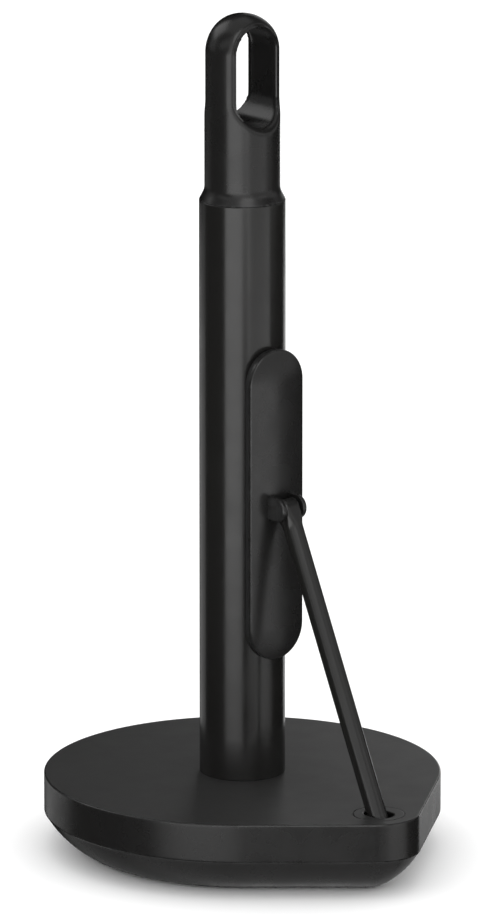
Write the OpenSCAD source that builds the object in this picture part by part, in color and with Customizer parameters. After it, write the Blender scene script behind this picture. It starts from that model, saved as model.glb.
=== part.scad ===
// Countertop paper towel holder with a weighted base, a round post with a finger loop,
// and a sprung arm that presses a pad against the roll.
// Millimetres. +Z is up, the table is z = 0, the post stands on the Z axis and the arm leans in from +X.

/* [Base] */
// Radius of the round part of the base
base_r = 90; // [80:1:108]
// Turn of each flat side away from the arm's direction, in degrees
flat_angle = 40; // [38:1:42]
// Radius of the rounded corner in front of the arm
corner_r = 21; // [20:0.5:26]
// Height of the base's top face above the table
base_h = 35; // [33:0.5:42]
// Height of the upright band below the top face
band_h = 17.15; // [15:0.05:18]
// Slope of the underside where it leaves the band, in degrees from upright
under_start = 30; // [26:1:34]
// Slope of the underside where it meets the foot, in degrees from upright
under_end = 63; // [58:1:68]
// Bevel on the top rim
edge_break = 0.5; // [0.3:0.1:0.8]
// Thickness of the top deck
deck_t = 3; // [2.5:0.1:3.6]
// Thickness of the band's wall
band_wall = 2.5; // [2:0.1:3]
// Thickness of the pan's wall
pan_wall = 2.2; // [1.8:0.1:2.6]
// Thickness of the rubber foot
foot_t = 1.8; // [1.5:0.1:2.2]
// How far the foot stands out below the pan
foot_show = 1.2; // [0.8:0.1:1.2]
// Distance between the foot's edge and the pan's flat edge
foot_margin = 4; // [3:0.5:6]
// Thickness of the iron weight
weight_t = 12; // [10:0.5:12.5]

/* [Post] */
// Outer radius of the post
column_r = 19.4; // [16:0.1:23.5]
// Wall of the post's tube
column_wall = 1.5; // [1.2:0.1:2]
// Height of the tube above the base
column_h = 265.3; // [220:0.1:320]
// Radius of the neck above the tube
neck_r = 17; // [15:0.1:18]
// Height of the sloping shoulder between tube and neck
shoulder_h = 4.5; // [3:0.1:6]
// Distance from the tube's end to the middle of the dome
dome_rise = 67.4; // [60:0.1:80]
// Wall left around the finger slot
loop_wall = 5.8; // [5:0.1:7]
// Distance between the middles of the slot's two round ends
slot_rise = 21.2; // [16:0.1:26]

/* [Arm and pad] */
// Radius of the arm's rod
rod_r = 4.5; // [3.8:0.1:5.4]
// Distance of the arm's pivot beyond the middle of the rounded corner
pivot_out = 6.2; // [5.5:0.1:6.6]
// Depth of the arm's pivot below the base's top face
pivot_drop = 8.5; // [8.5:0.1:10]
// Height of the pad's pin above the base's top face
pad_pin_h = 128.5; // [110:0.5:150]
// Half of the pad's width
pad_half_w = 15.4; // [13:0.1:17]
// Half of the pad's height
pad_half_h = 71.6; // [60:0.1:86]
// Thickness of the soft liner that touches the roll
liner_t = 2; // [1.5:0.1:2.6]
// Height of the pad shell's upright side
side_t = 2.2; // [2:0.1:3]
// Rise of the pad's rounded face above its side
crown_t = 1.95; // [1.6:0.05:2.4]
// Wall of the pad shell
shell_wall = 1.9; // [1.6:0.1:2.2]
// Radius of the two lugs that hold the pad's pin
lug_r = 5.45; // [5.2:0.05:6.4]
// Thickness of each lug
lug_t = 2.3; // [2:0.1:3]

/* [Pins and fasteners] */
// Radius of the arm's pivot pin and of the pad's pin
pin_r = 1.5; // [1.3:0.1:1.8]
// Radial running clearance of a pin in its bore
pin_fit = 0.05; // [0.03:0.01:0.1]
// Radius of the post's bolt and of the loop's stud
bolt_r = 4; // [3:0.5:4.5]
// Radius of the pan's screws
screw_r = 1.5; // [1.3:0.1:1.7]
// Radius of the bracket's screws
small_screw_r = 1.2; // [1:0.1:1.3]
// Radial gap around parts that only locate each other
locate_fit = 0.1; // [0.05:0.05:0.2]
// Gap between the pad and the post at rest
pad_gap = 0.35; // [0.3:0.05:0.6]

/* [Hidden] */
$fn = 64;
EPS = 0.01;

// Base, from the table upwards
crease_z = base_h - band_h;
deck_z = base_h - deck_t;
pan_foot_z = foot_show;
under_drop = crease_z - pan_foot_z;
under_r = under_drop / (sin(under_end) - sin(under_start));
under_back = under_r * cos(under_start);
under_mid_z = crease_z + under_r * sin(under_start);
under_inset = under_r * (cos(under_start) - cos(under_end));
corner_d = (base_r - corner_r) / cos(flat_angle);
flat_len = corner_d * sin(flat_angle);
foot_r = base_r - under_inset - foot_margin;
pan_floor_z = pan_foot_z + pan_wall;
lip_h = 2.5;
lip_t = 2;
lip_root = 3;

// Arm: its pivot, its lean at rest, and its length between the two pins
pivot_x = corner_d + pivot_out;
pivot_z = base_h - pivot_drop;
face_x = column_r + pad_gap;
rim_x = face_x + liner_t + side_t;
crown_x = rim_x + crown_t;
eye_gap = 0.8;
pad_pin_x = crown_x + eye_gap + rod_r;
pad_pin_z = base_h + pad_pin_h;
arm_lean = atan2(pivot_x - pad_pin_x, pad_pin_z - pivot_z);
arm_len = norm([pivot_x - pad_pin_x, pad_pin_z - pivot_z]);

// Slot in the base and the grommet around it
slot_gap = 0.9;
stop_gap = 0.4;
slot_half_w = rod_r + slot_gap;
rest_cross_x = pivot_x - pivot_drop * tan(arm_lean);
slot_in = rest_cross_x - rod_r / cos(arm_lean) - slot_gap;
slot_out = pivot_x + rod_r + stop_gap;
slot_x = (slot_in + slot_out) / 2;
slot_half_l = (slot_out - slot_in) / 2;
skirt_wall = 1.4;
skirt_r = slot_half_l + skirt_wall;
flange_w = 2.7;
flange_r = skirt_r + flange_w;
flange_t = 1.4;
skirt_t = 3.6;

// Bracket below the slot
hub_r = 4.4;
hub_half_w = rod_r + 0.3;
hub_gap = 0.5;
ear_half_w = 3.8;
ear_t = 1.8;
spring_room = 5.5;
near_ear_y = hub_half_w + hub_gap;
far_ear_y = near_ear_y + spring_room;
plate_t = 2;
plate_drop = 7.6;
plate_z = pivot_z - plate_drop;
plate_room = 0.4;
plate_r = corner_r - band_wall - plate_room;
plate_reach = 13.8;
plate_in = pivot_x - plate_reach;
plate_half_w = plate_r - 2.1;
bracket_screw_edge = 3.5;
inner_screw_x = plate_in + bracket_screw_edge;
inner_screw_y = plate_half_w - 3;
outer_screw_out = plate_r - 2.5;
outer_screw_angle = 37;
inner_boss_r = 2.9;
outer_boss_r = 2.5;
weight_room = 5;
weight_r = min(base_r - band_wall - lip_t - weight_room, plate_in - 2);

// Spring
wire_r = 0.6;
coil_r = 2.9;
coil_turns = 3;
coil_start_y = -(hub_half_w + 0.95);
coil_end_y = -(far_ear_y - 0.75);
arm_leg = 3.5;
peg_out = 1.6;
peg_up = 3;
peg_r = 0.6;
leg_steps = 3;
turn_steps = 16;
coil_steps = coil_turns * turn_steps;
lean_dir = [-sin(arm_lean), 0, cos(arm_lean)];
foot_leg = pivot_z - plate_z - plate_t - wire_r - 0.1;
spring_path = [
    for (i = [leg_steps:-1:1])
        coil_point(arm_lean, coil_start_y) + arm_leg * i / leg_steps * lean_dir,
    for (i = [0:coil_steps])
        coil_point(
            arm_lean - (360 * coil_turns + arm_lean) * i / coil_steps,
            coil_start_y + (coil_end_y - coil_start_y) * i / coil_steps
        ),
    for (i = [1:leg_steps])
        coil_point(0, coil_end_y) - [0, 0, foot_leg * i / leg_steps]
];

// Pivot pin, its clips and their grooves
clip_t = 0.6;
clip_gap = 0.15;
pin_tip = 0.8;
near_clip_y = near_ear_y + ear_t + clip_gap;
far_clip_y = -(far_ear_y + ear_t + clip_gap + clip_t);
groove_r = pin_r - 0.35;

// Arm's two ends and how the rod plugs into the hub
hub_reach = 7.5;
spigot_r = rod_r - 1.5;
socket_d = 3.3;

// Fasteners
pan_screw_ring = foot_r - 5.5;
pan_screw_angles = [60, 120, 180, 240, 300];
pan_boss_r = 4;
pan_boss_z = pan_floor_z + 2.6;
screw_head_r = 2.9;
screw_head_t = 1.8;
plug_r = column_r - column_wall - pin_fit;
plug_h = 22;
register_r = 9;
washer_r = 11;
washer_t = 1.6;
bolt_head_af = 13;
bolt_head_t = 5.3;
tube_top = base_h + column_h;
spigot_h = 12;
top_plug_h = 16;
plug_gap = 4;
top_plug_z = tube_top - spigot_h - plug_gap - top_plug_h;
insert_r = 6;
insert_h = 11;
stud_in = 12;
blind_end = 4;
tip_gap = 2;

// Pad
lug_in = rod_r + 0.3;
lug_out = lug_in + lug_t;
pad_end = pad_half_h - pad_half_w;
crown_r = (pad_half_w * pad_half_w + crown_t * crown_t) / (2 * crown_t);
liner_edge = 0.2;
pin_blind = 0.8;

// Finger loop
dome_z = tube_top + dome_rise;
finger_r = neck_r - loop_wall;
finger_low_z = dome_z - slot_rise;

// ---- Shared shapes ----

// A vertical cylinder from z0 to z1 at (x, y)
module post_between(r, z0, z1, x = 0, y = 0) {
    translate([x, y, z0])
        cylinder(r = r, h = z1 - z0);
}

// A cylinder along Y from y0 to y1 through (x, z)
module cross_pin(r, y0, y1, x, z) {
    translate([x, y1, z])
        rotate([90, 0, 0])
            cylinder(r = r, h = y1 - y0);
}

// Carries an upright profile round the base's outline: the long arc, the two flats and the corner.
// The profile reads $edge, its distance from the axis that it turns about to the outline.
module around_base() {
    rotate([0, 0, flat_angle])
        rotate_extrude(angle = 360 - 2 * flat_angle)
            let ($edge = base_r) children();
    translate([corner_d, 0, 0])
        rotate([0, 0, -flat_angle])
            rotate_extrude(angle = 2 * flat_angle)
                let ($edge = corner_r) children();
    for (side = [0, 1])
        mirror([0, side, 0])
            intersection() {
                rotate([90, 0, flat_angle])
                    linear_extrude(height = flat_len)
                        let ($edge = base_r) children();
                translate([-1, 0, -1])
                    cube([2 * base_r, 2 * base_r, base_h + 2]);
            }
}

// Half section of the bowl that forms the underside; shrink takes it inwards by a wall
module bowl_section(shrink, z0) {
    intersection() {
        translate([0, z0])
            square([$edge, crease_z - z0]);
        union() {
            translate([$edge - under_back, under_mid_z])
                circle(r = under_r - shrink, $fn = 128);
            translate([0, z0])
                square([max($edge - under_back, EPS), crease_z - z0]);
        }
    }
}

// Places its children in the arm's own frame: origin at the pivot, +Z along the rod
module at_arm() {
    translate([pivot_x, 0, pivot_z])
        rotate([0, -arm_lean, 0])
            children();
}

// Centres of the four bracket screws
function bracket_screw_points() = [
    for (s = [-1, 1]) [inner_screw_x, s * inner_screw_y, inner_boss_r],
    for (s = [-1, 1]) [
        corner_d + outer_screw_out * cos(outer_screw_angle),
        s * outer_screw_out * sin(outer_screw_angle),
        outer_boss_r
    ]
];

// Turns its children to each pan screw's place
module at_pan_screws() {
    for (a = pan_screw_angles)
        rotate([0, 0, a])
            translate([pan_screw_ring, 0, 0])
                children();
}

// ---- Base ----

module foot_pad() {
    color([0.07, 0.07, 0.07])
        post_between(foot_r, 0, foot_t);
}

module pan_body() {
    difference() {
        around_base() bowl_section(0, pan_foot_z);
        around_base() bowl_section(pan_wall, pan_floor_z);
    }
}

// Ribs that stiffen the pan where each flat runs into the rounded corner
module corner_ribs() {
    rib_t = 2;
    rib_reach = 5;
    intersection() {
        for (side = [0, 1])
            mirror([0, side, 0])
                translate([corner_d, 0, 0])
                    rotate([0, 0, flat_angle])
                        translate([0, -rib_t / 2, pan_foot_z])
                            cube([corner_r, rib_t, under_drop - 1]);
        translate([corner_d, 0, 0])
            difference() {
                rotate_extrude()
                    let ($edge = corner_r - pan_wall / 2) bowl_section(0, pan_foot_z + pan_wall / 2);
                translate([0, 0, pan_foot_z + 2 * pan_wall])
                    cylinder(r = corner_r - under_inset / 2 - rib_reach, h = under_drop);
            }
    }
}

// The lip that centres the pan inside the cover's band, left out beside the arm's bracket
module pan_lip() {
    lip_edge = base_r - band_wall - locate_fit;
    rotate([0, 0, flat_angle])
        rotate_extrude(angle = 360 - 2 * flat_angle)
            translate([lip_edge - lip_t, crease_z - lip_root])
                square([lip_t, lip_root + lip_h]);
}

module base_pan() {
    color([0.1, 0.1, 0.105])
        difference() {
            union() {
                pan_body();
                corner_ribs();
                pan_lip();
                at_pan_screws() post_between(pan_boss_r, pan_foot_z + EPS, pan_boss_z);
            }
            post_between(foot_r + locate_fit, 0, foot_t);
            at_pan_screws() post_between(screw_r + locate_fit, 0, base_h);
            at_pan_screws()
                post_between(screw_head_r + locate_fit, 0, foot_t + screw_head_t + locate_fit);
        }
}

module pan_screws() {
    color([0.6, 0.6, 0.62])
        at_pan_screws() {
            post_between(screw_head_r, foot_t + locate_fit, foot_t + locate_fit + screw_head_t);
            post_between(screw_r, foot_t + screw_head_t, crease_z);
        }
}

module base_weight() {
    color([0.28, 0.28, 0.29])
        difference() {
            post_between(weight_r, deck_z - weight_t, deck_z);
            post_between(bolt_r + 0.3, 0, base_h);
            at_pan_screws() post_between(pan_boss_r + 0.6, 0, base_h);
        }
}

// Half section of the cover: the deck and the band with a bevelled rim
module cover_section() {
    difference() {
        polygon([
            [0, crease_z], [$edge, crease_z], [$edge, base_h - edge_break],
            [$edge - edge_break, base_h], [0, base_h]
        ]);
        translate([-1, crease_z - 1])
            square([$edge - band_wall + 1, deck_z - crease_z + 1]);
    }
}

module base_cover() {
    color([0.17, 0.17, 0.175])
        difference() {
            union() {
                around_base() cover_section();
                at_pan_screws() post_between(pan_boss_r, pan_boss_z, deck_z + EPS);
                for (p = bracket_screw_points())
                    post_between(p[2], plate_z + plate_t, deck_z + EPS, p[0], p[1]);
            }
            at_pan_screws() post_between(screw_r + pin_fit, 0, crease_z + 1);
            for (p = bracket_screw_points())
                post_between(small_screw_r + pin_fit, 0, plate_z + plate_t + 8, p[0], p[1]);
            post_between(register_r + locate_fit, 0, base_h + 1);
            post_between(skirt_r + locate_fit, 0, base_h + 1, slot_x, 0);
            post_between(flange_r + locate_fit, base_h - flange_t, base_h + 1, slot_x, 0);
        }
}

// Plan of the slot that the arm moves in
module slot_plan() {
    reach = slot_half_l - slot_half_w;
    for (s = [-1, 1])
        translate([s * reach, 0])
            circle(r = slot_half_w);
    square([2 * reach, 2 * slot_half_w], center = true);
}

module slot_grommet() {
    color([0.2, 0.2, 0.205])
        translate([slot_x, 0, base_h - skirt_t])
            difference() {
                union() {
                    cylinder(r = skirt_r, h = skirt_t);
                    translate([0, 0, skirt_t - flange_t])
                        cylinder(r = flange_r, h = flange_t);
                }
                translate([0, 0, -1])
                    linear_extrude(height = skirt_t + 2)
                        slot_plan();
            }
}

// ---- Arm pivot, inside the base ----

module bracket_plate() {
    translate([0, 0, plate_z])
        linear_extrude(height = plate_t)
            intersection() {
                union() {
                    translate([corner_d, 0])
                        circle(r = plate_r, $fn = 96);
                    translate([plate_in, -plate_half_w])
                        square([corner_d - plate_in, 2 * plate_half_w]);
                }
                translate([plate_in, -plate_half_w])
                    square([2 * plate_r, 2 * plate_half_w]);
            }
}

// One upright ear of the bracket, from y0 towards +Y
module bracket_ear(y0) {
    cross_pin(ear_half_w, y0, y0 + ear_t, pivot_x, pivot_z);
    translate([pivot_x - ear_half_w, y0, plate_z])
        cube([2 * ear_half_w, ear_t, pivot_z - plate_z]);
}

module pivot_bracket() {
    color([0.62, 0.63, 0.65])
        difference() {
            union() {
                bracket_plate();
                bracket_ear(near_ear_y);
                bracket_ear(-far_ear_y - ear_t);
            }
            cross_pin(pin_r, -2 * plate_r, 2 * plate_r, pivot_x, pivot_z);
            for (p = bracket_screw_points())
                post_between(small_screw_r + 0.15, 0, base_h, p[0], p[1]);
        }
}

module bracket_screws() {
    head_r = 2.2;
    head_t = 1.5;
    color([0.6, 0.6, 0.62])
        for (p = bracket_screw_points()) {
            post_between(head_r, plate_z - head_t, plate_z, p[0], p[1]);
            post_between(small_screw_r, plate_z - EPS, plate_z + plate_t + 7, p[0], p[1]);
        }
}

module pivot_pin() {
    color([0.7, 0.7, 0.72])
        difference() {
            cross_pin(pin_r, far_clip_y - pin_tip, near_clip_y + clip_t + pin_tip, pivot_x, pivot_z);
            for (y = [near_clip_y, far_clip_y])
                difference() {
                    cross_pin(pin_r + 1, y, y + clip_t, pivot_x, pivot_z);
                    cross_pin(groove_r, y - 1, y + clip_t + 1, pivot_x, pivot_z);
                }
        }
}

module pivot_clips() {
    clip_out = pin_r + 1.5;
    mouth = 1.3 * groove_r;
    color([0.35, 0.36, 0.38])
        for (y = [near_clip_y, far_clip_y])
            difference() {
                cross_pin(clip_out, y, y + clip_t, pivot_x, pivot_z);
                cross_pin(groove_r, y - 1, y + clip_t + 1, pivot_x, pivot_z);
                translate([pivot_x - mouth / 2, y - 1, pivot_z - clip_out - 1])
                    cube([mouth, clip_t + 2, clip_out + 1]);
            }
}

// Spring: a straight leg on the hub's peg, the coil round the pin, a straight leg down to the plate
function coil_point(a, y) = [
    pivot_x + coil_r * cos(a),
    y,
    pivot_z + coil_r * sin(a)
];

function unit(v) = v / norm(v);
function path_dir(path, i) =
    unit(path[min(i + 1, len(path) - 1)] - path[max(i - 1, 0)]);

// A round wire of radius r along a path that never runs along Y
module wire(path, r, sides = 8) {
    rings = [
        for (i = [0:len(path) - 1])
            let (
                t = path_dir(path, i),
                u = unit(cross([0, 1, 0], t)),
                v = cross(t, u)
            )
            for (k = [0:sides - 1])
                path[i] + r * (cos(360 * k / sides) * u + sin(360 * k / sides) * v)
    ];
    last = (len(path) - 1) * sides;
    polyhedron(
        points = rings,
        faces = [
            [for (k = [0:sides - 1]) k],
            [for (k = [sides - 1:-1:0]) last + k],
            for (i = [0:len(path) - 2])
                for (k = [0:sides - 1]) [
                    i * sides + k,
                    (i + 1) * sides + k,
                    (i + 1) * sides + (k + 1) % sides,
                    i * sides + (k + 1) % sides
                ]
        ]
    );
}

module pivot_spring() {
    color([0.72, 0.72, 0.74])
        wire(spring_path, wire_r);
}

// ---- Post ----

module column_tube() {
    color([0.16, 0.16, 0.165])
        difference() {
            post_between(column_r, base_h, tube_top);
            post_between(column_r - column_wall, base_h - 1, tube_top + 1);
        }
}

module column_plug() {
    color([0.66, 0.66, 0.68])
        difference() {
            union() {
                post_between(plug_r, base_h, base_h + plug_h);
                post_between(register_r, deck_z, base_h + EPS);
            }
            post_between(bolt_r + pin_fit, deck_z - 1, base_h + plug_h - blind_end);
        }
}

module column_washer() {
    washer_z = deck_z - weight_t - washer_t;
    color([0.62, 0.62, 0.64])
        difference() {
            post_between(washer_r, washer_z, washer_z + washer_t);
            post_between(bolt_r + 0.3, washer_z - 1, washer_z + washer_t + 1);
        }
}

module column_bolt() {
    seat_z = deck_z - weight_t - washer_t;
    color([0.55, 0.55, 0.57])
        union() {
            translate([0, 0, seat_z - bolt_head_t])
                cylinder(d = bolt_head_af / cos(30), h = bolt_head_t, $fn = 6);
            post_between(bolt_r, seat_z - EPS, base_h + plug_h - blind_end - tip_gap);
        }
}

module top_plug() {
    color([0.66, 0.66, 0.68])
        difference() {
            post_between(plug_r, top_plug_z, top_plug_z + top_plug_h);
            post_between(bolt_r + pin_fit, top_plug_z - 1, top_plug_z + top_plug_h + 1);
        }
}

module loop_stud() {
    color([0.55, 0.55, 0.57])
        post_between(bolt_r, top_plug_z + top_plug_h - stud_in, tube_top - tip_gap);
}

module loop_insert() {
    color([0.75, 0.62, 0.3])
        difference() {
            post_between(insert_r, tube_top - spigot_h, tube_top - spigot_h + insert_h);
            post_between(bolt_r + pin_fit, tube_top - spigot_h - 1, tube_top);
        }
}

// Outline of the finger slot, through the loop along X
module finger_slot() {
    for (z = [dome_z, finger_low_z])
        translate([-2 * neck_r, 0, z])
            rotate([0, 90, 0])
                cylinder(r = finger_r, h = 4 * neck_r);
    translate([-2 * neck_r, -finger_r, finger_low_z])
        cube([4 * neck_r, 2 * finger_r, dome_z - finger_low_z]);
}

module finger_loop() {
    color([0.15, 0.15, 0.155])
        difference() {
            union() {
                post_between(plug_r, tube_top - spigot_h, tube_top + EPS);
                translate([0, 0, tube_top])
                    cylinder(r1 = column_r, r2 = neck_r, h = shoulder_h);
                post_between(neck_r, tube_top + shoulder_h - EPS, dome_z);
                translate([0, 0, dome_z])
                    sphere(r = neck_r);
            }
            finger_slot();
            post_between(insert_r, tube_top - spigot_h - 1, tube_top - spigot_h + insert_h);
            post_between(bolt_r + locate_fit, tube_top - spigot_h, tube_top - 1);
        }
}

// ---- Arm ----

module arm_hub() {
    color([0.2, 0.2, 0.21])
        difference() {
            union() {
                cross_pin(hub_r, -hub_half_w, hub_half_w, pivot_x, pivot_z);
                at_arm() {
                    cylinder(r = rod_r, h = hub_reach);
                    translate([peg_out, 0, peg_up])
                        rotate([90, 0, 0])
                            cylinder(r = peg_r, h = -coil_start_y + wire_r / 2);
                }
            }
            cross_pin(pin_r + pin_fit, -2 * hub_half_w, 2 * hub_half_w, pivot_x, pivot_z);
            at_arm()
                translate([0, 0, hub_reach - socket_d])
                    cylinder(r = spigot_r + pin_fit, h = socket_d + 1);
        }
}

module arm_rod() {
    color([0.15, 0.15, 0.155])
        difference() {
            union() {
                at_arm() {
                    translate([0, 0, hub_reach])
                        cylinder(r = rod_r, h = arm_len - hub_reach);
                    translate([0, 0, hub_reach - socket_d + locate_fit])
                        cylinder(r = spigot_r, h = socket_d);
                }
                cross_pin(rod_r, -rod_r, rod_r, pad_pin_x, pad_pin_z);
            }
            cross_pin(pin_r + pin_fit, -2 * rod_r, 2 * rod_r, pad_pin_x, pad_pin_z);
        }
}

// ---- Pad ----

// Half section of the pad's shell, x from the middle outwards and y from the liner to the crown
module shell_section(grow = 0) {
    intersection() {
        square([pad_half_w - grow, side_t + crown_t - grow]);
        translate([0, side_t + crown_t - crown_r])
            circle(r = crown_r - grow, $fn = 180);
    }
}

// Carries a half section round the pad's long outline, standing up and facing +X
module around_pad(x0) {
    translate([x0, 0, pad_pin_z])
        rotate([90, 0, 90]) {
            for (s = [0, 1])
                mirror([0, s, 0])
                    translate([0, pad_end, 0])
                        rotate_extrude(angle = 180)
                            children();
            for (s = [0, 1])
                mirror([s, 0, 0])
                    translate([0, pad_end, 0])
                        rotate([90, 0, 0])
                            linear_extrude(height = 2 * pad_end)
                                children();
        }
}

// One lug with its round end about the pad's pin
module pad_lug(y0) {
    cross_pin(lug_r, y0, y0 + lug_t, pad_pin_x, pad_pin_z);
    translate([rim_x, y0, pad_pin_z - lug_r])
        cube([pad_pin_x - rim_x, lug_t, 2 * lug_r]);
}

module pad_shell() {
    color([0.16, 0.16, 0.165])
        difference() {
            union() {
                around_pad(face_x + liner_t) shell_section();
                pad_lug(lug_in);
                pad_lug(-lug_out);
            }
            difference() {
                around_pad(face_x + liner_t) shell_section(shell_wall);
                translate([rim_x - side_t / 2, -lug_out, pad_pin_z - lug_r])
                    cube([crown_t + side_t, 2 * lug_out, 2 * lug_r]);
            }
            cross_pin(pin_r, -lug_out + pin_blind, lug_out + 1, pad_pin_x, pad_pin_z);
        }
}

module pad_liner() {
    color([0.09, 0.09, 0.095])
        around_pad(face_x)
            square([pad_half_w - liner_edge, liner_t]);
}

module pad_pin() {
    color([0.7, 0.7, 0.72])
        cross_pin(pin_r, -lug_out + pin_blind + locate_fit, lug_out - locate_fit, pad_pin_x, pad_pin_z);
}

foot_pad();
base_pan();
pan_screws();
base_weight();
base_cover();
slot_grommet();
pivot_bracket();
bracket_screws();
pivot_pin();
pivot_clips();
pivot_spring();
column_tube();
column_plug();
column_bolt();
column_washer();
top_plug();
loop_stud();
loop_insert();
finger_loop();
arm_hub();
arm_rod();
pad_shell();
pad_liner();
pad_pin();
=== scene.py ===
"""A countertop paper towel holder: its finishes and finished pieces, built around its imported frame.

Lengths are millimetres, and metres in the studio. The post stands on the Z axis and the sprung arm leans in
from +X.
"""

import logging
import math
from collections.abc import Callable, Iterator
from contextlib import contextmanager
from dataclasses import dataclass, field
from enum import Enum

import bmesh
import bpy
import numpy as np
from mathutils import Matrix, Vector


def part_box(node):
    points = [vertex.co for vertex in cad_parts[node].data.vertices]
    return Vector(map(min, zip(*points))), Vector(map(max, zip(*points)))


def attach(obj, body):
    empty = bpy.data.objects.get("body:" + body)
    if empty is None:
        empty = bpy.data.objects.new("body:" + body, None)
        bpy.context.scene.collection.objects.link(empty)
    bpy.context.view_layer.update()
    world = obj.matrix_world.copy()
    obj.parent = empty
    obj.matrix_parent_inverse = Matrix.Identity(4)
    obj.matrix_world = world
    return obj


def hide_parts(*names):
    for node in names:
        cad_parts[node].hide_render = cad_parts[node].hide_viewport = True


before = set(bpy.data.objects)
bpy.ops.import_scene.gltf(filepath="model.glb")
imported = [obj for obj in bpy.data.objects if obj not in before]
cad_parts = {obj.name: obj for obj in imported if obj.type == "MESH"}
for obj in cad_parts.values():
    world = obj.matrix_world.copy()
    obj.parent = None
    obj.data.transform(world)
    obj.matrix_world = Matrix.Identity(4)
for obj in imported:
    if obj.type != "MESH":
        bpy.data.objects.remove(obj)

log = logging.getLogger("towel_holder")
MM = 0.001
WELD_MM = 0.002  # points closer than this become one
OVERCUT = 1.0  # how far a cutter runs past the face that it cuts, in millimetres
ROUND_STEPS = 96  # steps round a disc
GUARDED_RUN = 3  # a straight run longer than this many guards gets a guard point
NOISE_LOW, NOISE_HIGH = 0.3, 0.7  # nearly all of a noise texture's values lie between these
FULL_TURN = 360.0
RUB = "rub"  # point attribute: 1 on rims that hands and cloths rub, 0 elsewhere
Point = tuple[float, float]
Ring = list[Vector]
Place = Callable[[float, float, float], Vector]  # a plan point and a distance, to a place in metres


# ---- Shader helpers ----


def linear(tone: str) -> tuple[float, float, float, float]:
    """Turns an sRGB hex colour to the linear colour that shaders take.

    Args:
        tone: Six hex digits after a hash.

    Returns:
        Linear red, green, blue and an alpha of 1.
    """
    parts = [int(tone[i:i + 2], 16) / 255 for i in (1, 3, 5)]
    red, green, blue = (p / 12.92 if p <= 0.04045 else ((p + 0.055) / 1.055) ** 2.4 for p in parts)
    return red, green, blue, 1.0


def add_node(tree: bpy.types.NodeTree, kind: str, inputs: dict[str | int, object] | None = None,
             **settings: object) -> bpy.types.Node:
    """Adds one node with its settings, and sets or links its inputs.

    Args:
        tree: The node tree that takes the node.
        kind: The node's type name.
        inputs: For an input's name or number, the socket that feeds it or its plain value.
        **settings: Properties of the node itself.

    Returns:
        The new node.
    """
    node = tree.nodes.new(kind)
    for name, value in settings.items():
        setattr(node, name, value)
    for key, value in (inputs or {}).items():
        if isinstance(key, int):
            socket = node.inputs[key]
        else:
            socket = next(s for s in node.inputs if s.name == key and s.enabled)
        if isinstance(value, bpy.types.NodeSocket):
            tree.links.new(value, socket)
        else:
            socket.default_value = value
    return node


# ---- Finishes ----


@dataclass(frozen=True)
class Ground:
    """A material's node tree and the coordinates that its patterns read."""

    tree: bpy.types.NodeTree
    place: bpy.types.NodeSocket

    def patches(self, size_mm: float, detail: float = 3.0) -> bpy.types.NodeSocket:
        """Cloudy patches of a real size.

        Args:
            size_mm: The size of one patch.
            detail: How many finer layers the patches have.

        Returns:
            A socket from 0 to 1, mostly near a half.
        """
        return add_node(self.tree, "ShaderNodeTexNoise", {
            "Vector": self.place, "Scale": 1 / (size_mm * MM), "Detail": detail,
        }).outputs["Fac"]


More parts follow.
